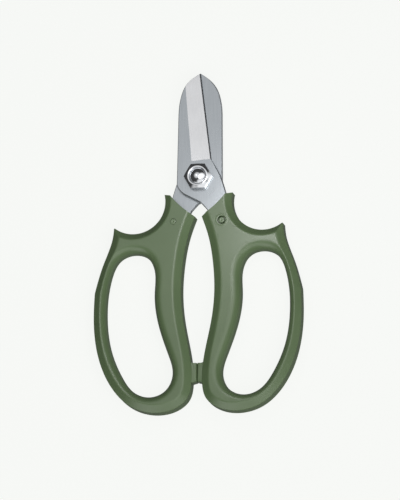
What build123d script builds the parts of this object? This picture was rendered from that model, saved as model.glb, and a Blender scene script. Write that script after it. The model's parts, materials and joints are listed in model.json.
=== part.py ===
from build123d import *
import math
import os

# Floral snips: two steel blades, each set in its own moulded loop handle, cross at one bolt.
# Row frame: the snips lie on the handles' back faces, +Y to the blade tips, +Z along the bolt
# towards its nut. The outlines below are (x, y) pairs counted from the bolt's axis, and heights
# are counted from the plane where the blades meet. The halves are alike: the left half is
# the right half given a half turn about the line of the tips.

# Driving dimensions, mm
TIP_REACH = 52.6
HEEL_REACH = 116.6
HALF_THICKNESS = 5.9
SLAB_SIZE = 400.0

BLADE_THICKNESS = 3.0
SHOULDER_HALF_WIDTH = 10.53
FOOT_HALF_WIDTH = 11.0
BLADE_CLEARANCE = 0.01
BEVEL_ANGLE = 15.6
BEVEL_REACH = 60.0
BEVEL_SPREAD = 12.0
EDGE_SPREAD = 6.0
EDGE_ANGLE = 36.0
HEEL_LAND = 0.08
TIP_LAND = 0.58
BEVEL_TOP = (-3.7, 8.2)
BEVEL_TIP = (-7.0, 44.8)
EDGE_HEEL = (5.75, 9.0)

WALL_HALF = 3.2
CHAMFER_WIDTH = 3.8
REST_CHAMFER = 3.3
SIDE_ROUND = 25.0
LOOP_ROUND = 4.7
FINGER_REST = ((16.9, -8.25), (27.7, -26.7), (41.3, -24.1))
TANG_CLEARANCE = 0.05

LUG_GAP = 0.3
LUG_TOP = -92.3
LUG_BOTTOM = -101.4
LUG_ARCH = 0.6
LUG_HALF = 3.0
LUG_ROOT = 5.0
LUG_STEM = 2.7
LUG_ROUND = 1.6
LUG_CHAMFER = 0.45

PIN_RADIUS = 1.35
PIN_CLEARANCE = 0.02
PIN_PLACE = (12.0, -22.3)
PIN_RECESS = 0.15
GROOVE_RADIUS = 2.05
GROOVE_DEPTH = 0.9

BOLT_RADIUS = 4.0
RUNNING_CLEARANCE = 0.05
THREAD_CLEARANCE = 0.03
NECK_SIZE = 8.0
NECK_CLEARANCE = 0.04
HEAD_RADIUS = 7.2
HEAD_HEIGHT = 1.8
HEAD_ROUND = 1.1
DOME_EDGE = 6.35
DOME_RISE = 1.15
DIMPLE_RADIUS = 0.45
WASHER_RADIUS = 6.9
WASHER_BORE = 5.75
WASHER_THICKNESS = 0.8
WASHER_CHAMFER = 0.15
SEAT_CLEARANCE = 0.02

NUT_ACROSS_FLATS = 12.0
NUT_TOP = 7.1
NUT_RIM_RADIUS = 5.1
NUT_BORE_CHAMFER = 0.3
NUT_RIM_ANGLE = 30.0

PIVOT_Y = (HEEL_REACH - TIP_REACH) / 2
PIVOT_AXIS = Axis((0, PIVOT_Y, 0), (0, 0, 1))
HALF_TURN = Axis((0, 0, HALF_THICKNESS), (0, 1, 0))
CHAMFER_DROP = HALF_THICKNESS - WALL_HALF
DOME_RADIUS = (BOLT_RADIUS**2 + DOME_RISE**2) / (2 * DOME_RISE)


def level(height):
    """The plane at a height above the blades' meeting plane, with its origin on the bolt's axis."""
    return Plane((0, PIVOT_Y, HALF_THICKNESS + height))


def half_turned(part):
    """The same piece on the other half of the snips."""
    return part.rotate(HALF_TURN, 180)


# Outlines from the bolt's axis
SPINE_FOOT = (-FOOT_HALF_WIDTH, -3.5)
SPINE_TOP = (-SHOULDER_HALF_WIDTH, 31.5)
TIP = (0, TIP_REACH)
BELLY = [SPINE_TOP, (-10.25, 36.0), (-9.55, 40.0), (-8.3, 44.0), (-5.8, 48.0), TIP]
BELLY_START = (0.015, 1)
BELLY_END = (0.83, 0.56)
NECK_CURVE = [EDGE_HEEL, (8.6, 4.4), (11.0, -0.6), (13.4, -8.0)]
TANG = [(13.4, -8.0), (14.3, -12.0), (16.4, -22.0), (15.6, -28.5), (10.8, -29.5), (7.6, -22.0)]
TANG_INNER = [(7.6, -22.0), (3.9, -15.9), (0.9, -12.6), (-6.6, -8.6)]
FOOT_CURVE = [(-6.6, -8.6), (-9.3, -6.5), SPINE_FOOT]

STEM_TOP = (1.65, -19.7)
STEM_TO_SIDE = [
    STEM_TOP,
    (4.6, -28.0),
    (7.4, -42.5),
    (8.2, -57.0),
    (6.75, -72.0),
    (3.6, -88.0),
    (2.6, -102.0),
    (4.5, -109.7),
    (10.3, -114.6),
    (20.0, -HEEL_REACH),
    (31.7, -113.5),
    (41.9, -103.7),
    (48.9, -88.0),
    (51.35, -68.0),
]
SIDE_TOP = (50.2, -53.0)
SIDE_END = (35.5, -7.0)
STEM_END = (-4.2, -4.7)
MOUTH = [STEM_TOP, (8.5, -14.6), (13.6, -9.2)]
NECK_END = (60.0, -5.0)
MOUTH_FAR = (-20.0, 10.0)
LOOP_HOLE = [
    (32.0, -37.1),
    (38.9, -39.7),
    (43.2, -48.0),
    (45.35, -67.0),
    (43.4, -83.0),
    (37.3, -98.0),
    (30.8, -106.0),
    (23.2, -108.4),
    (15.6, -105.3),
    (12.2, -97.5),
    (14.35, -88.0),
    (19.4, -73.0),
    (21.5, -57.0),
    (21.6, -46.0),
    (25.2, -39.2),
]


# ---- Blades -------------------------------------------------------------------------------

with BuildSketch() as blade_outline:
    with BuildLine():
        Line(SPINE_FOOT, SPINE_TOP)
        Spline(BELLY, tangents=(BELLY_START, BELLY_END))
        Line(TIP, EDGE_HEEL)
        Spline(NECK_CURVE)
        Polyline(TANG)
        Polyline(TANG_INNER)
        ThreePointArc(FOOT_CURVE)
    make_face()


def ground_plane(start, end, heights, angle):
    """A plane through a line on the blade, falling away to the line's right at an angle."""
    rise = heights[1] - heights[0]
    run = Vector(end[0] - start[0], end[1] - start[1], rise)
    side = Vector(run.Y, -run.X).normalized()
    tilt = math.radians(angle)
    fall = side * math.cos(tilt) - Vector(0, 0, math.sin(tilt))
    return Plane(
        origin=(start[0], PIVOT_Y + start[1], HALF_THICKNESS + heights[0]),
        x_dir=run,
        z_dir=fall.cross(run),
    )


bevel_heights = (BLADE_THICKNESS, BLADE_THICKNESS)
bevel_plane = ground_plane(BEVEL_TOP, BEVEL_TIP, bevel_heights, BEVEL_ANGLE)
edge_plane = ground_plane(EDGE_HEEL, TIP, (HEEL_LAND, TIP_LAND), EDGE_ANGLE)

with BuildPart() as blade_blank:
    with BuildSketch(level(BLADE_CLEARANCE)):
        add(blade_outline.sketch)
    extrude(amount=BLADE_THICKNESS - BLADE_CLEARANCE)
    # The wide flat bevel falls from its ridge and stops at the heel.
    with BuildSketch(bevel_plane):
        Rectangle(BEVEL_REACH, BEVEL_SPREAD, align=(Align.MIN, Align.MAX))
    extrude(amount=BLADE_THICKNESS, mode=Mode.SUBTRACT)
    # The narrow steep bevel that makes the cutting edge.
    with BuildSketch(edge_plane):
        Rectangle(BEVEL_REACH, EDGE_SPREAD, align=(Align.MIN, Align.CENTER))
    extrude(amount=BLADE_THICKNESS, mode=Mode.SUBTRACT)
    with BuildSketch(level(0)):
        with Locations(PIN_PLACE):
            Circle(PIN_RADIUS + PIN_CLEARANCE)
    extrude(amount=BLADE_THICKNESS, mode=Mode.SUBTRACT)

with BuildPart() as front_blade:
    add(blade_blank.part)
    # Round bore that turns on the bolt.
    with BuildSketch(level(0)):
        Circle(BOLT_RADIUS + RUNNING_CLEARANCE)
    extrude(amount=BLADE_THICKNESS, mode=Mode.SUBTRACT)

with BuildPart() as back_blade:
    add(half_turned(blade_blank.part))
    # Square hole that keeps the bolt's neck from turning.
    with BuildSketch(level(-BLADE_THICKNESS)):
        Rectangle(NECK_SIZE + 2 * NECK_CLEARANCE, NECK_SIZE + 2 * NECK_CLEARANCE)
    extrude(amount=BLADE_THICKNESS, mode=Mode.SUBTRACT)


# ---- Handles ------------------------------------------------------------------------------

with BuildPart() as loop_plate:
    # A slab with the loop's hole and its rounded rims. It shapes the handle from inside.
    with BuildSketch(level(-HALF_THICKNESS)):
        Rectangle(SLAB_SIZE, SLAB_SIZE)
        with BuildLine():
            Spline(LOOP_HOLE, periodic=True)
        make_face(mode=Mode.SUBTRACT)
    extrude(amount=2 * HALF_THICKNESS)
    fillet(loop_plate.edges().filter_by(GeomType.BSPLINE).group_by(Axis.Z)[0], LOOP_ROUND)
    fillet(loop_plate.edges().filter_by(GeomType.BSPLINE).group_by(Axis.Z)[-1], LOOP_ROUND)

rest_arc = ThreePointArc(*FINGER_REST)
rest_radius = rest_arc.radius
rest_plane = Plane(
    origin=(rest_arc.arc_center.X, PIVOT_Y + rest_arc.arc_center.Y, HALF_THICKNESS),
    x_dir=(1, 0, 0),
    z_dir=(0, -1, 0),
)
# The lug's outline: its stop face stands half the gap off the line between the handles.
LUG = [
    (LUG_ROOT, LUG_TOP + LUG_ROUND),
    (LUG_ROOT, LUG_BOTTOM - LUG_ARCH),
    (LUG_STEM, LUG_BOTTOM - LUG_ARCH),
    (LUG_GAP / 2, LUG_BOTTOM),
    (LUG_GAP / 2, LUG_TOP),
    (LUG_STEM - LUG_ROUND / 2, LUG_TOP),
]
LUG_FILLET_END = (LUG_STEM + LUG_ROUND / 2, LUG_TOP + LUG_ROUND)

with BuildPart() as right_handle:
    # Outside: stem, loop and straight side, closed well above the neck.
    with BuildSketch(level(-HALF_THICKNESS)) as silhouette:
        with BuildLine():
            around = Spline(STEM_TO_SIDE)
            TangentArc(STEM_TO_SIDE[-1], SIDE_TOP, tangent=around % 1)
            Polyline(SIDE_TOP, SIDE_END, STEM_END, STEM_TOP)
        make_face()
        fillet(silhouette.vertices().sort_by_distance(SIDE_TOP)[0], SIDE_ROUND)
    extrude(amount=2 * HALF_THICKNESS)
    for side in (0, -1):
        face = right_handle.faces().sort_by(Axis.Z)[side]
        outside = face.edges().sort_by(Axis.Y)[:-1]
        chamfer(outside, length=CHAMFER_WIDTH, length2=CHAMFER_DROP, reference=face)
    add(loop_plate.part, mode=Mode.INTERSECT)
    # The finger rest: a round bite whose rims slope like the rest of the outside.
    with BuildSketch(rest_plane):
        with BuildLine():
            Polyline(
                (0, -HALF_THICKNESS),
                (rest_radius + REST_CHAMFER, -HALF_THICKNESS),
                (rest_radius, -WALL_HALF),
                (rest_radius, WALL_HALF),
                (rest_radius + REST_CHAMFER, HALF_THICKNESS),
                (0, HALF_THICKNESS),
                close=True,
            )
        make_face()
    revolve(axis=Axis(rest_plane.origin, (0, 0, 1)), mode=Mode.SUBTRACT)
    # The mouth that the blade comes out of, and the neck's end beside it.
    with BuildSketch(level(-HALF_THICKNESS)):
        with BuildLine():
            ThreePointArc(*MOUTH)
            Polyline(MOUTH[-1], FINGER_REST[0], NECK_END, MOUTH_FAR, MOUTH[0])
        make_face()
    extrude(amount=2 * HALF_THICKNESS, mode=Mode.SUBTRACT)
    # Stop lug.
    with BuildSketch(level(-LUG_HALF)):
        with BuildLine():
            Polyline(LUG)
            TangentArc(LUG[-1], LUG_FILLET_END, tangent=(1, 0))
            Line(LUG_FILLET_END, LUG[0])
        make_face()
    extrude(amount=2 * LUG_HALF)
    stop_face = right_handle.faces().filter_by(Axis.X).sort_by(Axis.X)[0]
    chamfer(stop_face.edges().filter_by(Axis.Y), LUG_CHAMFER)
    # Slot that holds the blade's tang, and the pin hole through both.
    with BuildSketch(level(-TANG_CLEARANCE)):
        offset(blade_outline.sketch, amount=TANG_CLEARANCE)
    extrude(amount=BLADE_THICKNESS + 2 * TANG_CLEARANCE, mode=Mode.SUBTRACT)
    with BuildSketch(level(-HALF_THICKNESS)):
        with Locations(PIN_PLACE):
            Circle(PIN_RADIUS + PIN_CLEARANCE)
    extrude(amount=2 * HALF_THICKNESS, mode=Mode.SUBTRACT)
    with BuildSketch(level(HALF_THICKNESS)):
        with Locations(PIN_PLACE):
            Circle(GROOVE_RADIUS)
    extrude(amount=-GROOVE_DEPTH, mode=Mode.SUBTRACT)

with BuildPart() as left_handle:
    add(half_turned(right_handle.part))

with BuildPart() as right_tang_pin:
    with BuildSketch(level(PIN_RECESS - HALF_THICKNESS)):
        with Locations(PIN_PLACE):
            Circle(PIN_RADIUS)
    extrude(amount=2 * (HALF_THICKNESS - PIN_RECESS))
    chamfer(right_tang_pin.edges().filter_by(GeomType.CIRCLE), PIN_RECESS)

with BuildPart() as left_tang_pin:
    add(half_turned(right_tang_pin.part))


# ---- Pivot --------------------------------------------------------------------------------

washer_top = -BLADE_THICKNESS - SEAT_CLEARANCE
head_top = washer_top - WASHER_THICKNESS
head_bottom = head_top - HEAD_HEIGHT
nut_seat = BLADE_THICKNESS + SEAT_CLEARANCE
section = Plane(level(0).origin, x_dir=(1, 0, 0), z_dir=(0, -1, 0))

with BuildPart() as pivot_bolt:
    with BuildSketch(level(head_bottom)):
        Circle(HEAD_RADIUS)
    extrude(amount=HEAD_HEIGHT)
    fillet(pivot_bolt.edges().sort_by(Axis.Z)[0], HEAD_ROUND)
    with BuildSketch(level(head_top)):
        Rectangle(NECK_SIZE, NECK_SIZE)
    extrude(amount=-head_top - SEAT_CLEARANCE)
    # Shank with its polished domed end.
    with BuildSketch(section):
        with BuildLine():
            Polyline((0, DOME_EDGE + DOME_RISE), (0, head_top), (BOLT_RADIUS, head_top))
            Line((BOLT_RADIUS, head_top), (BOLT_RADIUS, DOME_EDGE))
            RadiusArc((BOLT_RADIUS, DOME_EDGE), (0, DOME_EDGE + DOME_RISE), -DOME_RADIUS)
        make_face()
    revolve(axis=PIVOT_AXIS)
    with Locations(level(DOME_EDGE + DOME_RISE)):
        Sphere(DIMPLE_RADIUS, mode=Mode.SUBTRACT)

with BuildPart() as pivot_washer:
    with BuildSketch(level(head_top)):
        Circle(WASHER_RADIUS)
        Circle(WASHER_BORE, mode=Mode.SUBTRACT)
    extrude(amount=WASHER_THICKNESS)
    chamfer(pivot_washer.edges().filter_by(GeomType.CIRCLE), WASHER_CHAMFER)

nut_corner = NUT_ACROSS_FLATS / math.sqrt(3)
rim_drop = (nut_corner - NUT_RIM_RADIUS) * math.tan(math.radians(NUT_RIM_ANGLE))

with BuildPart() as pivot_nut:
    with BuildSketch(level(nut_seat)):
        RegularPolygon(nut_corner, 6)
        Circle(BOLT_RADIUS + THREAD_CLEARANCE, mode=Mode.SUBTRACT)
    extrude(amount=NUT_TOP - nut_seat)
    # Conical crown that leaves a round rim on top.
    with BuildSketch(section):
        with BuildLine():
            Polyline(
                (0, nut_seat),
                (nut_corner, nut_seat),
                (nut_corner, NUT_TOP - rim_drop),
                (NUT_RIM_RADIUS, NUT_TOP),
                (0, NUT_TOP),
                close=True,
            )
        make_face()
    revolve(axis=PIVOT_AXIS, mode=Mode.INTERSECT)
    bore_rims = pivot_nut.edges().filter_by(GeomType.CIRCLE).sort_by(SortBy.RADIUS)[:2]
    chamfer(bore_rims, NUT_BORE_CHAMFER)


pieces = {
    "front_blade": front_blade,
    "back_blade": back_blade,
    "right_handle": right_handle,
    "left_handle": left_handle,
    "right_tang_pin": right_tang_pin,
    "left_tang_pin": left_tang_pin,
    "pivot_bolt": pivot_bolt,
    "pivot_washer": pivot_washer,
    "pivot_nut": pivot_nut,
}
os.makedirs("parts", exist_ok=True)
for name, piece in pieces.items():
    piece.part.label = name
    export_step(piece.part, f"parts/{name}.step")
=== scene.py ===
import json
import math

import bmesh
import bpy
import numpy as np
from mathutils import Matrix, Vector
from mathutils.kdtree import KDTree

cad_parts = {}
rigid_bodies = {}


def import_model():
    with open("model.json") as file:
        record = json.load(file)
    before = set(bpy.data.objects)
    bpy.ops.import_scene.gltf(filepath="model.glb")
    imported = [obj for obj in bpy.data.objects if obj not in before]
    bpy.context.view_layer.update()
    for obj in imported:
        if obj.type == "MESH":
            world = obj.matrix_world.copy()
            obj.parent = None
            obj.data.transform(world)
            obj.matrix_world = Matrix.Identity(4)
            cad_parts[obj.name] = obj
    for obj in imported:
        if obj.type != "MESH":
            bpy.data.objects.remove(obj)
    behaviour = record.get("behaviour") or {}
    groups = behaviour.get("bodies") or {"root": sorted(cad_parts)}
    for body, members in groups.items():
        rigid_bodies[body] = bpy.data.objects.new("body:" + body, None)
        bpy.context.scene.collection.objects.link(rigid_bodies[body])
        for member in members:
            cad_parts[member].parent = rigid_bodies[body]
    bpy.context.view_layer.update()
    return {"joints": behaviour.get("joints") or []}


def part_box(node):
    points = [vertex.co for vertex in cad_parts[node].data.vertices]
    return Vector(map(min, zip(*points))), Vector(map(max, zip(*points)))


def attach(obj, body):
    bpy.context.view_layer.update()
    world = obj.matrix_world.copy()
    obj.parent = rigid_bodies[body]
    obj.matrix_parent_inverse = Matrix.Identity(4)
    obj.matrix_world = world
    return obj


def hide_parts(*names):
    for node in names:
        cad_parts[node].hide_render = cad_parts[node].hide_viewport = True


# Floral snips. Every outline below is in millimetres from the pivot's axis, and heights are
# counted from the plane where the blades meet, as in the CAD model. The handles, blades and pins
# are built for the right half, and given a half turn about the Y axis for the left half.
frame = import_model()

MM = 0.001
PIVOT = Vector(frame["joints"][0]["pos_m"])
RIGHT_BODY = frame["joints"][0]["child"]
LEFT_BODY = frame["joints"][0]["parent"]
TO_ROW = Matrix.Translation(PIVOT) @ Matrix.Scale(MM, 4)
HALF_TURN = Matrix.Rotation(math.pi, 4, "Y")


def reach(node):
    """Lowest and highest corner of a CAD node from the pivot, in millimetres."""
    low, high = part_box(node)
    return (low - PIVOT) / MM, (high - PIVOT) / MM


blade_low, blade_high = reach("front_blade")
handle_low, handle_high = reach("right_handle")
nut_low, nut_high = reach("pivot_nut")
bolt_low, bolt_high = reach("pivot_bolt")
washer_low, washer_high = reach("pivot_washer")
pin_low, pin_high = reach("right_tang_pin")

HALF = handle_high.z
BLADE = blade_high.z
TIP = (0.0, blade_high.y)

# ---- Curves in the plane ------------------------------------------------------------------


def arc_through(a, b, c, count):
    """Points on the circle through a, b and c, from a to c."""
    a, b, c = (np.array(p, float) for p in (a, b, c))
    m = np.array([b - a, c - b])
    centre = np.linalg.solve(m, [m[0] @ (a + b) / 2, m[1] @ (b + c) / 2])
    angles = np.unwrap([math.atan2(*(p - centre)[::-1]) for p in (a, b, c)])
    turn = np.linspace(angles[0], angles[2], count)
    radius = np.linalg.norm(a - centre)
    return centre + radius * np.stack([np.cos(turn), np.sin(turn)], 1)


def spline_through(points, closed=False, spacing=0.3):
    """A smooth cubic through the points, sampled evenly."""
    p = np.array(points, float)
    if closed:
        p = np.vstack([p, p[:1]])
    h = np.linalg.norm(np.diff(p, axis=0), axis=1)
    along = np.concatenate([[0], np.cumsum(h)])
    slopes = np.diff(p, axis=0) / h[:, None]
    n = len(p)
    a = np.zeros((n, n))
    b = np.zeros((n, 2))
    for i in range(1, n - 1):
        a[i, i - 1 : i + 2] = h[i - 1], 2 * (h[i - 1] + h[i]), h[i]
        b[i] = 6 * (slopes[i] - slopes[i - 1])
    if closed:
        a[0, 0], a[0, -1] = 1, -1
        a[-1, 0], a[-1, 1], a[-1, -2] = 2 * (h[0] + h[-1]), h[0], h[-1]
        b[-1] = 6 * (slopes[0] - slopes[-1])
    else:
        a[0, 0] = a[-1, -1] = 1
    bend = np.linalg.solve(a, b)
    t = np.linspace(0, along[-1], int(along[-1] / spacing) + 2)
    k = np.clip(np.searchsorted(along, t, side="right") - 1, 0, n - 2)
    u = (t - along[k])[:, None]
    v = h[k][:, None] - u
    hk = h[k][:, None]
    made = (bend[k] * v**3 + bend[k + 1] * u**3) / (6 * hk)
    made += (p[k] / hk - bend[k] * hk / 6) * v + (p[k + 1] / hk - bend[k + 1] * hk / 6) * u
    return made[:-1] if closed else made


def resample(line, places):
    """Points of a polyline at the given fractions of its length."""
    line = np.asarray(line, float)
    steps = np.concatenate([[0], np.cumsum(np.linalg.norm(np.diff(line, axis=0), axis=1))])
    at = np.asarray(places) * steps[-1]
    return np.stack([np.interp(at, steps, line[:, 0]), np.interp(at, steps, line[:, 1])], 1)


def evenly(line, spacing):
    """The polyline with its points evenly spaced."""
    length = np.linalg.norm(np.diff(np.asarray(line, float), axis=0), axis=1).sum()
    return resample(line, np.linspace(0, 1, int(length / spacing) + 2))


class Contour:
    """A polyline that tells how far points are from it."""

    def __init__(self, line, closed=False):
        line = np.asarray(line, float)
        self.line = np.vstack([line, line[:1]]) if closed else line
        self.closed = closed
        self.tree = KDTree(len(line))
        for i, p in enumerate(line):
            self.tree.insert((p[0], p[1], 0), i)
        self.tree.balance()
        self.count = len(line)

    def nearest(self, points):
        """Distance to the polyline, and the place along it as a fraction of its points."""
        points = np.asarray(points, float)
        index = np.array([self.tree.find((x, y, 0))[1] for x, y in points])
        best = np.full(len(points), np.inf)
        place = np.zeros(len(points))
        last = len(self.line) - 2
        for shift in (-1, 0):
            k = index + shift
            k = k % (last + 1) if self.closed else np.clip(k, 0, last)
            start = self.line[k]
            run = self.line[k + 1] - start
            t = ((points - start) * run).sum(1) / np.maximum((run * run).sum(1), 1e-12)
            t = np.clip(t, 0, 1)
            d = np.linalg.norm(points - start - run * t[:, None], axis=1)
            closer = d < best
            best[closer] = d[closer]
            place[closer] = (k + t)[closer]
        return best, place


# ---- Handle -------------------------------------------------------------------------------

WALL = 3.2
SLOPE_WIDTH = 3.8
REST_WIDTH = 3.3
LOOP_ROUND = 4.7
EDGE_ROUND = 0.3
RIDGE_SOFTNESS = 0.45
OUTLINE_SPACING = 0.25
CORNER_PASSES = 12

STEM_TOP = (1.65, -19.7)
STEM_TO_SIDE = [
    STEM_TOP,
    (4.6, -28.0),
    (7.4, -42.5),
    (8.2, -57.0),
    (6.75, -72.0),
    (3.6, -88.0),
    (2.6, -102.0),
    (4.5, -109.7),
    (10.3, -114.6),
    (20.0, handle_low.y),
    (31.7, -113.5),
    (41.9, -103.7),
    (48.9, -88.0),
    (handle_high.x, -68.0),
    (51.0, -56.4),
]
SIDE_TO_HORN = [(51.0, -56.4), (46.8, -42.0), (42.25, -28.4), (41.85, -24.8)]
HORN_SIDE = (41.72, -24.2)
HORN_TIP = (41.4, -24.1)
FINGER_REST = [HORN_TIP, (27.7, -26.7), (16.9, -8.25)]
MOUTH = [(13.6, -9.2), (8.5, -14.6), STEM_TOP]
LOOP_HOLE = [
    (32.0, -37.1),
    (25.2, -39.2),
    (21.6, -46.0),
    (21.5, -57.0),
    (19.4, -73.0),
    (14.35, -88.0),
    (12.2, -97.5),
    (15.6, -105.3),
    (23.2, -108.4),
    (30.8, -106.0),
    (37.3, -98.0),
    (43.4, -83.0),
    (45.35, -67.0),
    (43.2, -48.0),
    (38.9, -39.7),
]


def soften_corners(line, passes):
    """Rounds the small kinks of a polyline, leaving its ends in place."""
    line = np.array(line)
    for _ in range(passes):
        line[1:-1] = (line[:-2] + 2 * line[1:-1] + line[2:]) / 4
    return line


outside = np.vstack([spline_through(STEM_TO_SIDE), spline_through(SIDE_TO_HORN)[1:]])
outside = soften_corners(evenly(outside, OUTLINE_SPACING), CORNER_PASSES)
horn_end = arc_through(outside[-1], HORN_SIDE, HORN_TIP, count=6)
outside = np.vstack([outside, horn_end[1:]])
finger_rest = arc_through(*FINGER_REST, count=160)
mouth = np.vstack([[FINGER_REST[-1]], arc_through(*MOUTH, count=90)])
loop_hole = spline_through(LOOP_HOLE, closed=True, spacing=OUTLINE_SPACING)

side_contour = Contour(outside)
rest_contour = Contour(finger_rest)
mouth_contour = Contour(mouth)
hole_contour = Contour(loop_hole, closed=True)


def soft_min(a, b, softness):
    """The lower of two heights, blended where they cross."""
    h = np.clip(0.5 + 0.5 * (b - a) / softness, 0, 1)
    return b + (a - b) * h - softness * h * (1 - h)


def sloped_edge(distance, width):
    """Height over an edge: a rounded corner on the wall, then a slope up to the face."""
    slope = math.atan((HALF - WALL) / width)
    run = EDGE_ROUND * math.cos(slope)
    t = np.sqrt(np.clip(distance / run, 0, 1))
    corner = WALL - EDGE_ROUND * (1 - t) ** 2 + EDGE_ROUND * math.sin(slope) * t**2
    return np.where(distance < run, corner, WALL + distance * math.tan(slope))


def square_edge(distance):
    """Height over the mouth: a rounded square corner."""
    t = np.sqrt(np.clip(distance / EDGE_ROUND, 0, 1))
    return HALF - EDGE_ROUND * (1 - t) ** 2


def rounded_edge(distance):
    """Height over the loop's hole: a quarter round."""
    e = np.clip(distance, 0, LOOP_ROUND)
    return HALF - LOOP_ROUND + np.sqrt(LOOP_ROUND**2 - (LOOP_ROUND - e) ** 2)


def handle_height(points):
    """Height of the handle's front face above the middle plane."""
    side = sloped_edge(side_contour.nearest(points)[0], SLOPE_WIDTH)
    rest = sloped_edge(rest_contour.nearest(points)[0], REST_WIDTH)
    loop = rounded_edge(hole_contour.nearest(points)[0])
    height = soft_min(side, rest, RIDGE_SOFTNESS)
    height = soft_min(height, np.full(len(points), HALF), RIDGE_SOFTNESS)
    height = soft_min(height, loop, RIDGE_SOFTNESS)
    return np.minimum(height, square_edge(mouth_contour.nearest(points)[0]))


# ---- Plan of the handle's mesh ------------------------------------------------------------

# The plan is a ring of quads round the loop's hole and a patch for the neck, which meet along a
# straight cut from the stem to the finger rest. Steps are fine at the outside's rounded edge.
CUT_LEFT_Y = -29.0
CUT_RIGHT_Y = -25.0
NECK_ACROSS = 64
NECK_ALONG = 56
NECK_LENGTH = 9.0
MOUTH_SHARE = 0.8
RING_SPACING = 0.5
EVEN_SHARE = 0.1
EDGE_STEPS = [0.0, 0.012, 0.045, 0.1, 0.18, 0.29]
SLOPE_STEPS = 8
FACE_STEPS = 12
ROUND_STEPS = 14
RIDGE_TRIES = 80
RIDGE_GAP = 0.04
RIDGE_START = 0.06
RIDGE_PASSES = 10


def dense_ends(count, length, both=True):
    """Fractions from 0 to 1 with fine steps at the last end, or at both ends, of a length."""
    last = [1 - s / length for s in reversed(EDGE_STEPS)]
    first = [s / length for s in EDGE_STEPS] if both else [0.0]
    middle = np.linspace(first[-1], last[0], count + 3 - len(first) - len(last))[1:-1]
    return np.concatenate([first, middle, last])


def cut_places():
    """Where the cut meets the outside and the finger rest, as places in their points."""
    stem_y = outside[: len(outside) // 3, 1]
    half_way = len(finger_rest) // 2
    rest_y = finger_rest[half_way:, 1]
    left = np.argmin(np.abs(stem_y - CUT_LEFT_Y))
    right = np.argmin(np.abs(rest_y - CUT_RIGHT_Y)) + half_way
    return int(left), int(right)


def ring_edges(cut_left, cut_right, cut):
    """Points round the loop and back along the cut, and the hole's points that face them."""
    loop_side = evenly(outside[cut_left:], RING_SPACING)
    loop_rest = evenly(finger_rest[: cut_right + 1], RING_SPACING)
    outer = np.vstack([loop_side, loop_rest[1:], cut[::-1][1:-1]])
    place = hole_contour.nearest(outer)[1]
    turns = np.unwrap(place / hole_contour.count * 2 * math.pi) / (2 * math.pi)
    turns = np.maximum.accumulate(turns)
    even = turns[0] + np.arange(len(outer)) / len(outer)
    turns = (1 - EVEN_SHARE) * turns + EVEN_SHARE * even
    return outer, resample(hole_contour.line, np.mod(turns, 1.0))


def smoothed_round(values):
    """Values round a closed ring with their jumps evened out."""
    for _ in range(RIDGE_PASSES):
        values = (np.roll(values, 1) + values + np.roll(values, -1)) / 3
    return values


def ridge_and_crest(outer, inner):
    """Where the slope ends and where the rounding starts, as fractions of the way across."""
    tries = np.linspace(0, 1, RIDGE_TRIES + 1)
    grid = outer[:, None] + (inner - outer)[:, None] * tries[None, :, None]
    flat = grid.reshape(-1, 2)
    to_edge = np.minimum(side_contour.nearest(flat)[0], rest_contour.nearest(flat)[0])
    slope = sloped_edge(to_edge, SLOPE_WIDTH).reshape(grid.shape[:2])
    loop = rounded_edge(hole_contour.nearest(flat)[0]).reshape(grid.shape[:2])
    slope_ends = (slope >= HALF) | (slope >= loop)
    round_ends = ((loop >= HALF) | (loop >= slope))[:, ::-1]
    ridge = np.argmax(slope_ends, axis=1) / RIDGE_TRIES
    crest = 1 - np.argmax(round_ends, axis=1) / RIDGE_TRIES
    middle = (ridge + crest) / 2
    ridge = np.maximum(np.minimum(ridge, middle - RIDGE_GAP), RIDGE_START)
    crest = np.maximum(crest, middle + RIDGE_GAP)
    return smoothed_round(ridge), smoothed_round(crest)


def ring_rows(outer, inner):
    """The ring's points: a row across it for each outer point, packed at ridge and crest."""
    ridge, crest = ridge_and_crest(outer, inner)
    width = np.linalg.norm(inner - outer, axis=1)
    packed = (1 - np.cos(np.linspace(0, math.pi, FACE_STEPS + 1))) / 2
    quarter = 1 - np.cos(np.linspace(math.pi / 2, 0, ROUND_STEPS + 1))
    rows = []
    for i in range(len(outer)):
        start = np.array(EDGE_STEPS) / width[i]
        rise = np.linspace(start[-1], ridge[i], SLOPE_STEPS + 1)[1:]
        face = ridge[i] + (crest[i] - ridge[i]) * packed[1:]
        drop = 1 - (1 - crest[i]) * quarter[1:]
        rows.append(np.concatenate([start, rise, face, drop]))
    ring = outer[:, None] + (inner - outer)[:, None] * np.array(rows)[:, :, None]
    ring[:, -1] = inner
    return ring


def neck_rows(cut_left, cut_right, cut, across):
    """The neck's points, between the cut, the stem, the finger rest and the mouth."""
    along = dense_ends(NECK_ALONG, NECK_LENGTH, both=False)
    left = resample(outside[: cut_left + 1][::-1], along)
    right = resample(finger_rest[cut_right:], along)
    corner = int(NECK_ACROSS * MOUTH_SHARE)
    bend = across[corner]
    mouth_back = mouth[::-1]
    curved = resample(mouth_back[:-1], across[: corner + 1] / bend)
    straight = resample(mouth_back[-2:], (across[corner + 1 :] - bend) / (1 - bend))
    top = np.vstack([curved, straight])
    u = across[None, :, None]
    v = along[:, None, None]
    patch = (1 - v) * cut[None] + v * top[None] + (1 - u) * left[:, None] + u * right[:, None]
    patch -= (1 - u) * (1 - v) * cut[0] + u * (1 - v) * cut[-1]
    patch -= (1 - u) * v * top[0] + u * v * top[-1]
    patch[0] = cut
    return patch


def grid_faces(grid, first, around=False):
    """Quads of a grid of points, whose last row meets its first if it goes around."""
    rows, columns = grid.shape[:2]
    faces = []
    for i in range(rows if around else rows - 1):
        for k in range(columns - 1):
            a = first + i * columns + k
            b = first + (i + 1) % rows * columns + k
            faces.append((a, a + 1, b + 1, b))
    return faces


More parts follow.
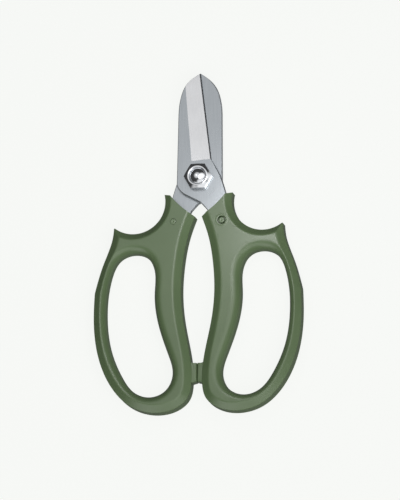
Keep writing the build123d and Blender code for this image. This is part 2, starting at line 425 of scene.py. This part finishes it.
def plan_of_handle():
    """Quads that tile the handle's outline, as (points, faces)."""
    cut_left, cut_right = cut_places()
    ends = np.array([outside[cut_left], finger_rest[cut_right]])
    across = dense_ends(NECK_ACROSS, np.linalg.norm(ends[1] - ends[0]))
    cut = resample(ends, across)
    cut[0], cut[-1] = ends
    ring = ring_rows(*ring_edges(cut_left, cut_right, cut))
    neck = neck_rows(cut_left, cut_right, cut, across)
    points = np.vstack([ring.reshape(-1, 2), neck.reshape(-1, 2)])
    faces = grid_faces(ring, 0, around=True)
    faces += grid_faces(neck, ring.shape[0] * ring.shape[1])
    return merged(points, faces)


def merged(points, faces):
    """The same quads, all turning left, with points that coincide made one."""
    keys = {}
    index = np.zeros(len(points), int)
    kept = []
    for i, p in enumerate(np.round(points, 4)):
        key = (p[0], p[1])
        if key not in keys:
            keys[key] = len(kept)
            kept.append(points[i])
        index[i] = keys[key]
    clean = []
    for face in faces:
        corners = []
        for c in index[list(face)]:
            if not corners or (corners[-1] != c and corners[0] != c):
                corners.append(int(c))
        if len(corners) > 2:
            x, y = np.array([kept[c] for c in corners]).T
            turns_left = (x * np.roll(y, -1) - y * np.roll(x, -1)).sum() > 0
            clean.append(tuple(corners) if turns_left else tuple(corners[::-1]))
    return np.array(kept), clean


# The parting line is a shallow groove at mid height of the outside walls.
PARTING_HALF = 0.16
PARTING_DEPTH = 0.035


def solid_over(plan, faces, front, back):
    """A closed mesh between the heights in front of the plan and behind it."""
    n = len(plan)
    edges = {}
    for f in faces:
        for a, b in zip(f, f[1:] + f[:1]):
            edges[(a, b)] = (b, a)
    rim = [(a, b) for a, b in edges if (b, a) not in edges]
    outward = {}
    for a, b in rim:
        run = plan[b] - plan[a]
        normal = np.array([run[1], -run[0]]) / max(np.linalg.norm(run), 1e-9)
        for c in (a, b):
            outward[c] = outward.get(c, 0) + normal
    verts = [(x, y, z) for (x, y), z in zip(plan, front)]
    verts += [(x, y, -z) for (x, y), z in zip(plan, back)]
    quads = list(faces) + [tuple(n + c for c in reversed(f)) for f in faces]
    levels = {}
    for c, normal in outward.items():
        normal = normal / max(np.linalg.norm(normal), 1e-9)
        ids = [c]
        for z, inset in ((PARTING_HALF, 0), (0, PARTING_DEPTH), (-PARTING_HALF, 0)):
            x, y = plan[c] - normal * inset
            ids.append(len(verts))
            verts.append((x, y, z))
        ids.append(n + c)
        levels[c] = ids
    for a, b in rim:
        for top, bottom in zip(range(4), range(1, 5)):
            quads.append((levels[a][top], levels[a][bottom], levels[b][bottom], levels[b][top]))
    return verts, quads


# ---- Mesh helpers -------------------------------------------------------------------------


def new_object(name, verts, faces):
    mesh = bpy.data.meshes.new(name)
    mesh.from_pydata([tuple(v) for v in verts], [], [tuple(f) for f in faces])
    mesh.validate()
    made = bmesh.new()
    made.from_mesh(mesh)
    bmesh.ops.recalc_face_normals(made, faces=made.faces)
    made.to_mesh(mesh)
    made.free()
    piece = bpy.data.objects.new(name, mesh)
    bpy.context.scene.collection.objects.link(piece)
    return piece


def lathe(name, profile, segments, centre=(0, 0)):
    """A closed solid of revolution. A profile that starts and ends on the axis is capped."""
    solid_core = abs(profile[0][0]) < 1e-6 and abs(profile[-1][0]) < 1e-6
    rings = profile[1:-1] if solid_core else profile
    verts = []
    for r, z in rings:
        for k in range(segments):
            a = 2 * math.pi * k / segments
            verts.append((centre[0] + r * math.cos(a), centre[1] + r * math.sin(a), z))
    faces = []
    last = len(rings)
    for i in range(last if not solid_core else last - 1):
        j = (i + 1) % last
        for k in range(segments):
            n = (k + 1) % segments
            a, b = i * segments, j * segments
            faces.append((a + k, a + n, b + n, b + k))
    if solid_core:
        for ring, (r, z) in ((0, profile[0]), (last - 1, profile[-1])):
            verts.append((centre[0], centre[1], z))
            hub = len(verts) - 1
            for k in range(segments):
                n = (k + 1) % segments
                faces.append((ring * segments + k, ring * segments + n, hub))
    return new_object(name, verts, faces)


def stacked(name, layers):
    """A closed solid through outlines with the same number of points, given as (outline, z)."""
    n = len(layers[0][0])
    verts = [(x, y, z) for outline, z in layers for x, y in outline]
    top = (len(layers) - 1) * n
    faces = [tuple(range(n))[::-1], tuple(range(top, top + n))]
    for k in range(0, top, n):
        faces += [(k + i, k + (i + 1) % n, k + n + (i + 1) % n, k + n + i) for i in range(n)]
    return new_object(name, verts, faces)


def prism(name, outline, low, high):
    return stacked(name, [(outline, low), (outline, high)])


def square(half):
    return [(-half, -half), (half, -half), (half, half), (-half, half)]


def apply_modifiers(piece):
    graph = bpy.context.evaluated_depsgraph_get()
    mesh = bpy.data.meshes.new_from_object(piece.evaluated_get(graph))
    piece.modifiers.clear()
    old = piece.data
    piece.data = mesh
    bpy.data.meshes.remove(old)


def boolean(piece, tool, operation):
    """Joins, cuts or intersects piece with tool, which is used up."""
    modifier = piece.modifiers.new(operation, "BOOLEAN")
    modifier.operation = operation
    modifier.solver = "EXACT"
    modifier.object = tool
    bpy.context.view_layer.update()
    apply_modifiers(piece)
    bpy.data.objects.remove(tool)


def bevel(piece, width, angle, segments=2):
    modifier = piece.modifiers.new("edges", "BEVEL")
    modifier.width = width
    modifier.segments = segments
    modifier.limit_method = "ANGLE"
    modifier.angle_limit = math.radians(angle)
    modifier.use_clamp_overlap = False
    modifier.harden_normals = False
    bpy.context.view_layer.update()
    apply_modifiers(piece)


def finish_piece(piece, node, body, materials, sharp, turned=False):
    """Puts a piece built about the pivot in its place and makes it stand for a CAD node."""
    mesh = piece.data
    mesh.shade_smooth()
    mesh.set_sharp_from_angle(angle=math.radians(sharp))
    if turned:
        mesh.transform(HALF_TURN)
    mesh.transform(TO_ROW)
    for material in materials:
        if material.name not in mesh.materials:
            mesh.materials.append(material)
    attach(piece, body)
    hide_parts(node)
    return piece


def twin(piece, name):
    other = bpy.data.objects.new(name, piece.data.copy())
    bpy.context.scene.collection.objects.link(other)
    return other


# ---- Materials ----------------------------------------------------------------------------


NOISE_LOW = 0.3
NOISE_HIGH = 0.7


class Shader:
    """A small helper for building one material's nodes."""

    def __init__(self, name):
        self.material = bpy.data.materials.new(name)
        self.material.use_nodes = True
        self.tree = self.material.node_tree
        self.surface = self.tree.nodes["Principled BSDF"]
        coordinates = self.tree.nodes.new("ShaderNodeTexCoord")
        self.place = coordinates.outputs["Object"]

    def noise(self, scale, stretch=(1, 1, 1), detail=3.0, roughness=0.5):
        mapping = self.tree.nodes.new("ShaderNodeMapping")
        mapping.inputs["Scale"].default_value = [scale * s for s in stretch]
        self.tree.links.new(self.place, mapping.inputs["Vector"])
        noise = self.tree.nodes.new("ShaderNodeTexNoise")
        noise.inputs["Scale"].default_value = 1.0
        noise.inputs["Detail"].default_value = detail
        noise.inputs["Roughness"].default_value = roughness
        self.tree.links.new(mapping.outputs["Vector"], noise.inputs["Vector"])
        return noise.outputs["Fac"]

    def spread(self, value, low, high):
        """The value stretched from the range that noise covers to low..high."""
        node = self.tree.nodes.new("ShaderNodeMapRange")
        node.inputs["From Min"].default_value = NOISE_LOW
        node.inputs["From Max"].default_value = NOISE_HIGH
        node.inputs["To Min"].default_value = low
        node.inputs["To Max"].default_value = high
        self.tree.links.new(value, node.inputs["Value"])
        return node.outputs["Result"]

    def blend(self, value, a, b):
        node = self.tree.nodes.new("ShaderNodeMix")
        node.data_type = "RGBA"
        node.inputs["A"].default_value = (*a, 1)
        node.inputs["B"].default_value = (*b, 1)
        self.tree.links.new(self.spread(value, 0, 1), node.inputs["Factor"])
        return node.outputs["Result"]

    def bump(self, value, distance):
        node = self.tree.nodes.new("ShaderNodeBump")
        node.inputs["Strength"].default_value = 1.0
        node.inputs["Distance"].default_value = distance
        self.tree.links.new(value, node.inputs["Height"])
        return node.outputs["Normal"]

    def feed(self, socket, value):
        self.tree.links.new(value, self.surface.inputs[socket])


def plastic(name, low, high, roughness, grain):
    """Moulded plastic: two close colours in clouds, and a fine grain."""
    s = Shader(name)
    cloud = s.noise(scale=70, detail=2)
    speck = s.noise(scale=2600, detail=2)
    s.feed("Base Color", s.blend(cloud, low, high))
    s.feed("Roughness", s.spread(speck, *roughness))
    s.feed("Normal", s.bump(speck, grain))
    s.surface.inputs["Specular IOR Level"].default_value = 1.0
    return s.material


def brushed(name, low, high, roughness, depth, metallic=1.0):
    """Metal with fine streaks along its length."""
    s = Shader(name)
    streak = s.noise(scale=7000, stretch=(1, 0.012, 1), detail=4, roughness=0.6)
    cloud = s.noise(scale=120, detail=3)
    s.feed("Base Color", s.blend(streak, low, high))
    s.feed("Roughness", s.spread(cloud, *roughness))
    s.feed("Normal", s.bump(streak, depth))
    s.surface.inputs["Metallic"].default_value = metallic
    return s.material


def polished(name, low, high, roughness, depth):
    """Plated metal with a slight, wide waviness."""
    s = Shader(name)
    cloud = s.noise(scale=900, detail=4)
    wave = s.noise(scale=260, detail=1)
    s.feed("Base Color", s.blend(cloud, low, high))
    s.feed("Roughness", s.spread(cloud, *roughness))
    s.feed("Normal", s.bump(wave, depth))
    s.surface.inputs["Metallic"].default_value = 1.0
    return s.material


SAGE = plastic("sage_plastic", (0.113, 0.172, 0.078), (0.124, 0.185, 0.087), (0.32, 0.39), 0.000012)
PIN_SAGE = plastic("pin_sage", (0.152, 0.218, 0.114), (0.167, 0.238, 0.129), (0.34, 0.4), 0.00001)
STEEL = brushed("brushed_steel", (0.465, 0.50, 0.53), (0.555, 0.59, 0.62), (0.26, 0.32), 0.000004)
GROUND = brushed("ground_bevel", (0.57, 0.575, 0.59), (0.63, 0.635, 0.645), (0.22, 0.27), 0.000002)
PLATING = polished("bright_plating", (0.83, 0.85, 0.88), (0.90, 0.92, 0.94), (0.06, 0.11), 0.00001)
# Duller, lighter steel for the walls left of the neck: partly a sheared finish, partly painted light
# in place of the pale floor's reflection.
SHEARED_LIT_WALL = brushed("sheared_edge_painted_light", (0.52, 0.55, 0.58), (0.60, 0.63, 0.66), (0.45, 0.55), 0.000004, 0.3)
SPRING = brushed("spring_steel", (0.26, 0.27, 0.29), (0.32, 0.33, 0.35), (0.28, 0.36), 0.000003)


# ---- Handles ------------------------------------------------------------------------------

PIN_PLACE = Vector(((pin_low.x + pin_high.x) / 2, (pin_low.y + pin_high.y) / 2))
PIN_RADIUS = (pin_high.x - pin_low.x) / 2
PIN_CLEARANCE = 0.02
GROOVE_RADIUS = 2.05
GROOVE_DEPTH = 2.0
HALO_RADIUS = 2.55
HALO_WIDTH = 0.28
HALO_RISE = 0.12
GROOVE_LIP = 0.12
GROOVE_FLARE = (0.14, 0.1)
BACK_FLARE = 0.22
BACK_GROOVE = 0.5
PIN_EDGE = [(0.0, 0.18), (0.05, 0.06), (0.18, 0.0)]
PIN_DIMPLE = [(0.38, 0.0), (0.3, 0.05), (0.18, 0.16), (0.0, 0.2)]
TANG_GAP = 0.02
SPARE = 1.0
HANDLE_SHARP = 32
PIN_SHARP = 40

LUG_HALF = 3.0
LUG_FACE = 0.15
LUG_CHAMFER = 0.45
LUG_EDGE = 0.14
LUG_ROOT = 5.0
LUG_TOP = -92.3
LUG_BOTTOM = -101.4
LUG_ARCH = 0.6
LUG_STEM = 2.7
LUG_ROUND = 1.6


def make_lug():
    """The stop lug: a chamfered block with a fillet where it leaves the stem."""
    fillet_end = (LUG_STEM + LUG_ROUND / 2, LUG_TOP + LUG_ROUND)
    fillet_start = (LUG_STEM - LUG_ROUND / 2, LUG_TOP)
    middle = (
        fillet_start[0] + LUG_ROUND * math.sin(math.pi / 4),
        LUG_TOP + LUG_ROUND * (1 - math.cos(math.pi / 4)),
    )
    outline = [
        (LUG_ROOT, LUG_TOP + LUG_ROUND),
        (LUG_ROOT, LUG_BOTTOM - LUG_ARCH),
        (LUG_STEM, LUG_BOTTOM - LUG_ARCH),
        (LUG_FACE, LUG_BOTTOM),
        (LUG_FACE, LUG_TOP),
    ]
    outline += [tuple(p) for p in arc_through(fillet_start, middle, fillet_end, count=10)]
    drawn_in = [(max(x, LUG_FACE + LUG_CHAMFER), y) for x, y in outline]
    body = LUG_HALF - LUG_CHAMFER
    layers = [(drawn_in, -LUG_HALF), (outline, -body), (outline, body), (drawn_in, LUG_HALF)]
    lug = stacked("lug", layers)
    bevel(lug, LUG_EDGE, angle=35)
    return lug


TANG = [(13.4, -8.0), (14.3, -12.0), (16.4, -22.0), (15.6, -28.5), (10.8, -29.5), (7.6, -22.0)]
TANG_INNER = [(3.9, -15.9), (0.9, -12.6), (-6.6, -8.6)]
SPINE_FOOT = (blade_low.x, -3.5)
FOOT = [(-6.6, -8.6), (-9.3, -6.5), SPINE_FOOT]
BELLY = [(-10.53, 31.5), (-10.25, 36.0), (-9.55, 40.0), (-8.3, 44.0), (-5.8, 48.0), TIP]
EDGE_HEEL = (5.75, 9.0)
NECK = [EDGE_HEEL, (8.6, 4.4), (11.0, -0.6), (13.4, -8.0)]


def blade_outline():
    """The right blade with its tang, clockwise from the belly."""
    belly = [tuple(p) for p in spline_through(BELLY, spacing=0.6)]
    neck = [tuple(p) for p in spline_through(NECK, spacing=0.8)]
    foot = [tuple(p) for p in arc_through(*FOOT, count=14)]
    return belly + neck + TANG[1:] + TANG_INNER[:-1] + foot


def grown(outline, amount):
    """A closed outline moved outwards, for outlines that run clockwise."""
    p = np.array(outline)
    run = np.roll(p, -1, axis=0) - np.roll(p, 1, axis=0)
    normal = np.stack([-run[:, 1], run[:, 0]], 1) / np.linalg.norm(run, axis=1)[:, None]
    return [tuple(q) for q in p + normal * amount]


def pin_cut_profile():
    """The pin's hole, flared at the back, with the ring groove round the pin in front."""
    hole = PIN_RADIUS + PIN_CLEARANCE
    floor = HALF - GROOVE_DEPTH
    flare = GROOVE_RADIUS + GROOVE_FLARE[0]
    return [
        (0, -HALF - SPARE),
        (hole + BACK_FLARE, -HALF - SPARE),
        (hole + BACK_FLARE, -HALF + BACK_GROOVE),
        (hole, -HALF + BACK_GROOVE),
        (hole, floor),
        (GROOVE_RADIUS, floor),
        (GROOVE_RADIUS, HALF - GROOVE_LIP),
        (flare, HALF + GROOVE_FLARE[1]),
        (flare, HALF + SPARE),
        (0, HALF + SPARE),
    ]


def make_grip():
    """The right handle, with its lug, the slot for the tang and the cut for the pin."""
    plan, faces = plan_of_handle()
    height = handle_height(plan)
    from_pin = np.linalg.norm(plan - np.array(PIN_PLACE), axis=1)
    halo = HALO_RISE * np.exp(-(((from_pin - HALO_RADIUS) / HALO_WIDTH) ** 2))
    verts, quads = solid_over(plan, faces, np.minimum(height + halo, HALF), height)
    grip = new_object("right_grip", verts, quads)
    boolean(grip, make_lug(), "UNION")
    slot = prism("slot", grown(blade_outline(), TANG_GAP), -TANG_GAP, BLADE + TANG_GAP)
    boolean(grip, slot, "DIFFERENCE")
    pin_cut = lathe("pin_cut", pin_cut_profile(), segments=72, centre=PIN_PLACE)
    boolean(grip, pin_cut, "DIFFERENCE")
    return grip


def make_pin():
    """A pin with a small dimple in each rounded end."""
    end = [(PIN_RADIUS - inset, pin_high.z - drop) for inset, drop in PIN_EDGE]
    end += [(radius, pin_high.z - depth) for radius, depth in PIN_DIMPLE]
    back = [(radius, -z) for radius, z in reversed(end)]
    return lathe("right_pin", back + end, segments=64, centre=PIN_PLACE)


grip = make_grip()
left_grip = twin(grip, "left_grip")
finish_piece(grip, "right_handle", RIGHT_BODY, [SAGE], HANDLE_SHARP)
finish_piece(
    left_grip, "left_handle", LEFT_BODY, [SAGE], HANDLE_SHARP, turned=True
)
pin = make_pin()
left_pin = twin(pin, "left_pin")
finish_piece(pin, "right_tang_pin", RIGHT_BODY, [PIN_SAGE], PIN_SHARP)
finish_piece(
    left_pin, "left_tang_pin", LEFT_BODY, [PIN_SAGE], PIN_SHARP, turned=True
)


# ---- Blades -------------------------------------------------------------------------------

BLADE_CLEARANCE = blade_low.z
BEVEL_ANGLE = 15.6
BEVEL_TOP = (-3.7, 8.2)
BEVEL_TIP = (-7.0, 44.8)
EDGE_ANGLE = 36.0
EDGE_LANDS = (0.08, 0.58)
CUTTER_REACH = 60.0
WIDE_SPREAD = 24.0
NARROW_SPREAD = 3.0
CUTTER_HEIGHT = 8.0
BLADE_EDGE = 0.06
BLADE_EDGE_ANGLE = 50
SPINE_ROUND = 0.4
SPINE_DROP = 0.95
SPINE_LAYERS = 6
EDGE_FADE = 5.0
HEEL_SLACK = 0.01
STEEP = 0.6
SAME_LEAN = 0.004
SMALLEST_BEVEL = 4.0
BLADE_SHARP = 10
HOLE_REACH = 9.0
BOLT_BORE = 4.05
SQUARE_HALF = 4.04


def grinding_wheel(start, end, heights, angle, behind, ahead):
    """A block whose bottom face is the plane ground on the blade to the right of a line."""
    along = Vector((end[0] - start[0], end[1] - start[1], heights[1] - heights[0])).normalized()
    side = Vector((along.y, -along.x, 0)).normalized()
    tilt = math.radians(angle)
    across = side * math.cos(tilt) - Vector((0, 0, math.sin(tilt)))
    up = across.cross(along).normalized()
    corner = Vector((start[0], start[1], heights[0]))
    verts = []
    for z in (0, CUTTER_HEIGHT):
        for a, b in ((0, -behind), (CUTTER_REACH, -behind), (CUTTER_REACH, ahead), (0, ahead)):
            verts.append(corner + along * a + across * b + up * z)
    faces = [(3, 2, 1, 0), (4, 5, 6, 7)]
    faces += [(i, (i + 1) % 4, 4 + (i + 1) % 4, 4 + i) for i in range(4)]
    return new_object("wheel", verts, faces)


def broken_edges(outline):
    """How much each outline point is rounded off: fully, but not along the cutting edge."""
    weights = []
    for x, y in outline:
        from_tip = (TIP[1] - y) / EDGE_FADE if y > EDGE_HEEL[1] else 1.0
        from_heel = (EDGE_HEEL[1] - y) / EDGE_FADE if x > EDGE_HEEL[0] - HEEL_SLACK else 1.0
        weights.append(min(max(min(from_tip, from_heel), 0), 1))
    return np.array(weights)[:, None]


def make_blade(name, hole):
    """A right blade: rounded spine, ground wide bevel, cutting bevel and its hole."""
    outline = np.array(blade_outline())
    inward = (outline - np.array(grown(outline, 1.0))) * broken_edges(outline)
    layers = []
    for turn in np.linspace(0, math.pi / 2, SPINE_LAYERS):
        drop = SPINE_DROP * (1 - math.sin(turn))
        inset = outline + inward * SPINE_ROUND * (1 - math.cos(turn))
        layers.append((inset, BLADE - drop))
        layers.insert(0, (inset, BLADE_CLEARANCE + drop))
    blade = stacked(name, layers)
    wide = grinding_wheel(BEVEL_TOP, BEVEL_TIP, (BLADE, BLADE), BEVEL_ANGLE, 0.0, WIDE_SPREAD)
    boolean(blade, wide, "DIFFERENCE")
    narrow = grinding_wheel(EDGE_HEEL, TIP, EDGE_LANDS, EDGE_ANGLE, NARROW_SPREAD, NARROW_SPREAD)
    boolean(blade, narrow, "DIFFERENCE")
    boolean(blade, hole, "DIFFERENCE")
    bevel(blade, BLADE_EDGE, BLADE_EDGE_ANGLE)
    return blade


def mark_finishes_and_lit_walls(blade):
    """Gives the wide bevel its ground finish, and the outside walls left of the neck a duller,
    lighter steel: partly their sheared finish, partly painted light in place of the pale floor's
    reflection.
    """
    lean = math.cos(math.radians(BEVEL_ANGLE))
    for face in blade.data.polygons:
        tall = abs(face.normal.z)
        if abs(tall - lean) < SAME_LEAN and face.area > SMALLEST_BEVEL:
            face.material_index = 1
        # Painted light: only the walls left of the neck get the lighter steel, and the neck's walls
        # keep the plain steel.
        elif tall < STEEP and face.center.x < EDGE_HEEL[0] - BLADE_EDGE:
            face.material_index = 2


bore = [(0, -HOLE_REACH), (BOLT_BORE, -HOLE_REACH), (BOLT_BORE, HOLE_REACH), (0, HOLE_REACH)]
round_hole = lathe("round_hole", bore, segments=128)
front_blade = make_blade("front_blade_steel", round_hole)
square_hole = prism("square_hole", square(SQUARE_HALF), -HOLE_REACH, HOLE_REACH)
back_blade = make_blade("back_blade_steel", square_hole)
for blade in (front_blade, back_blade):
    for finish in (STEEL, GROUND, SHEARED_LIT_WALL):
        blade.data.materials.append(finish)
    mark_finishes_and_lit_walls(blade)
finish_piece(front_blade, "front_blade", RIGHT_BODY, [], BLADE_SHARP)
finish_piece(back_blade, "back_blade", LEFT_BODY, [], BLADE_SHARP, turned=True)


# ---- Pivot --------------------------------------------------------------------------------

NUT_CORNER = nut_high.x
NUT_EDGE = 0.12
NUT_RIM_RADIUS = 5.1
NUT_RIM_ANGLE = 30.0
NUT_RIM_INSET = 0.35
NUT_RIM_ROUND = 0.6
NUT_BORE = 4.03
NUT_BORE_FLARE = 0.42
NUT_BORE_ROUND = 0.4
CONE_OVERRUN = 0.6
NUT_SHARP = 24

BOLT_RADIUS = 4.0
DOME_EDGE = 6.35
DOME_LIP = [(0.0, 0.16), (0.06, 0.04)]
DOME_TURNS = (1.2, 0.5)
DIMPLE_RADIUS = 0.45
DIMPLE_CAP = 0.0092
DIMPLE = [(0.387, 0.06), (0.27, 0.26), (0.0, 0.36)]
HEAD_RADIUS = bolt_high.x
HEAD_ROUND = 1.1
HEAD_BAND = 1.2
HEAD_EDGE = 0.12
NECK_HALF = 4.0
NECK_SUNK = 0.5
NECK_GAP = 0.03

WASHER_BORE = 5.75
WASHER_EDGE = 0.14
WASHER_ROUND = 0.042
METAL_SHARP = 30


def arc_profile(centre, radius, start, end, count):
    turns = np.radians(np.linspace(start, end, count))
    return [(centre[0] + radius * math.cos(t), centre[1] + radius * math.sin(t)) for t in turns]


def make_nut():
    """A hexagon under a conical crown, with a polished round rim at the bore."""
    corners = [math.radians(60 * k) for k in range(6)]
    hexagon = [(NUT_CORNER * math.cos(a), NUT_CORNER * math.sin(a)) for a in corners]
    nut = prism("nut", hexagon, nut_low.z, nut_high.z)
    bevel(nut, NUT_EDGE, angle=40, segments=3)
    low, top = nut_low.z - SPARE, nut_high.z
    wide = NUT_CORNER + SPARE
    cone = top - (NUT_CORNER - NUT_RIM_RADIUS) * math.tan(math.radians(NUT_RIM_ANGLE))
    rim = (NUT_RIM_RADIUS - NUT_RIM_INSET, top - NUT_RIM_ROUND)
    lip = (NUT_BORE + NUT_BORE_FLARE, top - NUT_BORE_ROUND)
    crown = [(NUT_BORE, low), (wide, low), (wide, cone - CONE_OVERRUN), (NUT_CORNER, cone)]
    crown += arc_profile(rim, NUT_RIM_ROUND, 60, 90, count=6)
    crown += arc_profile(lip, NUT_BORE_ROUND, 90, 175, count=8)
    boolean(nut, lathe("crown", crown, segments=180), "INTERSECT")
    return nut


def dome_profile():
    """The bolt's end from its side to the bottom of the dimple in its middle."""
    apex = bolt_high.z + DIMPLE_CAP
    rise = apex - DOME_EDGE
    radius = (BOLT_RADIUS**2 + rise**2) / (2 * rise)
    start = 90 - math.degrees(math.asin(BOLT_RADIUS / radius)) + DOME_TURNS[0]
    end = 90 - math.degrees(math.asin(DIMPLE_RADIUS / radius)) - DOME_TURNS[1]
    profile = [(BOLT_RADIUS - inset, DOME_EDGE - drop) for inset, drop in DOME_LIP]
    profile += arc_profile((0, apex - radius), radius, start, end, count=24)
    profile += [(r, apex - depth) for r, depth in DIMPLE]
    return profile


def make_bolt():
    """A round head, a square neck and a round shank with a domed end."""
    bottom, top = bolt_low.z, washer_low.z
    flat = HEAD_RADIUS - HEAD_ROUND
    profile = [(0, bottom), (flat - HEAD_BAND, bottom)]
    profile += arc_profile((flat, bottom + HEAD_ROUND), HEAD_ROUND, -90, 0, count=12)
    profile += [(HEAD_RADIUS, top - HEAD_EDGE), (HEAD_RADIUS - HEAD_EDGE, top)]
    profile += [(BOLT_RADIUS, top)] + dome_profile()
    bolt = lathe("bolt", profile, segments=144)
    neck = prism("neck", square(NECK_HALF), top - NECK_SUNK, blade_low.z - NECK_GAP)
    boolean(bolt, neck, "UNION")
    return bolt


def make_washer():
    """A flat ring, chamfered at its bore and rounded at its outside."""
    radius = washer_high.x
    low, high = washer_low.z, washer_high.z
    profile = [
        (WASHER_BORE, low + WASHER_EDGE),
        (WASHER_BORE + WASHER_EDGE, low),
        (radius - WASHER_EDGE, low),
        (radius - WASHER_ROUND, low + WASHER_ROUND),
        (radius, low + WASHER_EDGE),
        (radius, high - WASHER_EDGE),
        (radius - WASHER_ROUND, high - WASHER_ROUND),
        (radius - WASHER_EDGE, high),
        (WASHER_BORE + WASHER_EDGE, high),
        (WASHER_BORE, high - WASHER_EDGE),
    ]
    return lathe("washer", profile, segments=128)


finish_piece(make_nut(), "pivot_nut", LEFT_BODY, [PLATING], NUT_SHARP)
finish_piece(make_bolt(), "pivot_bolt", LEFT_BODY, [PLATING], METAL_SHARP)
finish_piece(make_washer(), "pivot_washer", LEFT_BODY, [SPRING], METAL_SHARP)


# ---- Studio -------------------------------------------------------------------------------

TOWARDS_CAMERA = Vector((0.193445, -0.233908, 0.9528)).normalized()
MIRRORED = (-TOWARDS_CAMERA.x, -TOWARDS_CAMERA.y, TOWARDS_CAMERA.z)
LAMP_UP = Vector((0.02, 1, 0.01))
CAMERA_DISTANCE = 3.8626
CAMERA_LENS = 571.5
CAMERA_ROLL = 0.01024226
FRAME_CENTRE_DROP = 0.03473
FAR_AWAY = 20

FLOOR_SIZE = 15.5
FLOOR_CELLS = 48
PAPER = ((0.05, 0.05, 0.05), (0.06, 0.06, 0.06))
PAPER_GLOW = (0.985, 1.0, 0.975, 1)

# Each panel is given as (direction, inner degrees, outer degrees, light).
ROOM = ((0, 0, 1), 88, 120, 0.05)
BELOW = 0.17
PANELS = [
    (MIRRORED, 9, 27, 0.70),
    ((0.42, 0.15, 0.90), 10, 28, 1.12),
    ((0.25, -0.62, 0.74), 16, 34, 0.85),
    ((-0.42, -0.80, 0.42), 8, 26, 1.25),
    ((0.85, -0.35, -0.15), 20, 45, 0.2),
]
KEY_FROM = (0.52, -0.5, 0.69)
GLOW_OFFSET = Vector((0.046, -0.031, 0))


def camera_axes():
    """Right and up of the picture in the row frame."""
    right = Vector((0, 1, 0)).cross(TOWARDS_CAMERA).normalized()
    up = TOWARDS_CAMERA.cross(right)
    c, s = math.cos(CAMERA_ROLL), math.sin(CAMERA_ROLL)
    return right * c + up * s, up * c - right * s


def facing(back, up):
    right = up.cross(back).normalized()
    return Matrix((right, back.cross(right), back)).transposed().to_4x4()


def place_camera():
    camera = bpy.data.objects.new("camera", bpy.data.cameras.new("camera"))
    bpy.context.scene.collection.objects.link(camera)
    camera.data.lens = CAMERA_LENS
    camera.data.clip_end = FAR_AWAY
    _, up = camera_axes()
    spot = PIVOT + TOWARDS_CAMERA * CAMERA_DISTANCE
    back = (spot - (PIVOT - up * FRAME_CENTRE_DROP)).normalized()
    camera.matrix_world = Matrix.Translation(spot) @ facing(back, up)
    bpy.context.scene.camera = camera


def soft_light(name, target, direction, distance, size, power):
    """A round light that shines on a point from a direction."""
    light = bpy.data.lights.new(name, "AREA")
    light.shape = "DISK"
    light.size = size
    light.energy = power
    lamp = bpy.data.objects.new(name, light)
    bpy.context.scene.collection.objects.link(lamp)
    back = Vector(direction).normalized()
    lamp.matrix_world = Matrix.Translation(target + back * distance) @ facing(back, LAMP_UP)
    lamp.visible_camera = False
    return lamp


class Sky:
    """A studio room as a world shader: a gradient with a few soft panels of light in it."""

    def __init__(self):
        world = bpy.data.worlds.new("studio")
        bpy.context.scene.world = world
        world.use_nodes = True
        self.tree = world.node_tree
        self.coordinates = self.tree.nodes.new("ShaderNodeTexCoord").outputs["Generated"]
        self.total = None

    def toward(self, direction):
        """Cosine of the angle between a ray and a direction."""
        node = self.tree.nodes.new("ShaderNodeVectorMath")
        node.operation = "DOT_PRODUCT"
        node.inputs[1].default_value = Vector(direction).normalized()
        self.tree.links.new(self.coordinates, node.inputs[0])
        return node.outputs["Value"]

    def panel(self, direction, inner, outer, light, dark=0.0):
        """Adds light within inner degrees of a direction, fading to dark by outer degrees."""
        fade = self.tree.nodes.new("ShaderNodeMapRange")
        fade.interpolation_type = "SMOOTHSTEP"
        fade.inputs["From Min"].default_value = math.cos(math.radians(outer))
        fade.inputs["From Max"].default_value = math.cos(math.radians(inner))
        fade.inputs["To Min"].default_value = dark
        fade.inputs["To Max"].default_value = light
        self.tree.links.new(self.toward(direction), fade.inputs["Value"])
        if self.total is None:
            self.total = fade.outputs["Result"]
            return
        add = self.tree.nodes.new("ShaderNodeMath")
        add.operation = "ADD"
        self.tree.links.new(self.total, add.inputs[0])
        self.tree.links.new(fade.outputs["Result"], add.inputs[1])
        self.total = add.outputs["Value"]

    def finish(self):
        background = self.tree.nodes["Background"]
        self.tree.links.new(self.total, background.inputs["Color"])


def make_world():
    """A dim room, lighter below, with a panel of light for each direction in PANELS."""
    sky = Sky()
    sky.panel(*ROOM, dark=BELOW)
    for panel in PANELS:
        sky.panel(*panel)
    sky.finish()


def make_floor():
    """A pale sheet whose own glow keeps it even."""
    made = bmesh.new()
    cells = FLOOR_CELLS
    bmesh.ops.create_grid(made, x_segments=cells, y_segments=cells, size=FLOOR_SIZE)
    mesh = bpy.data.meshes.new("floor")
    made.to_mesh(mesh)
    made.free()
    floor = bpy.data.objects.new("floor", mesh)
    bpy.context.scene.collection.objects.link(floor)
    s = Shader("pale_paper")
    fibre = s.noise(scale=900, detail=3)
    s.feed("Base Color", s.blend(fibre, *PAPER))
    s.surface.inputs["Roughness"].default_value = 0.9
    s.surface.inputs["Specular IOR Level"].default_value = 0.1
    s.surface.inputs["Emission Color"].default_value = PAPER_GLOW
    s.surface.inputs["Emission Strength"].default_value = 0.9
    mesh.materials.append(s.material)
    floor.visible_glossy = False
    floor.visible_diffuse = False


place_camera()
make_floor()
make_world()
key = soft_light("key", PIVOT, KEY_FROM, distance=1.5, size=0.9, power=8.0)
key.visible_glossy = False
soft_light("glow", PIVOT + GLOW_OFFSET, MIRRORED, distance=0.13, size=0.045, power=0.030)
bpy.context.scene.view_settings.view_transform = "Standard"
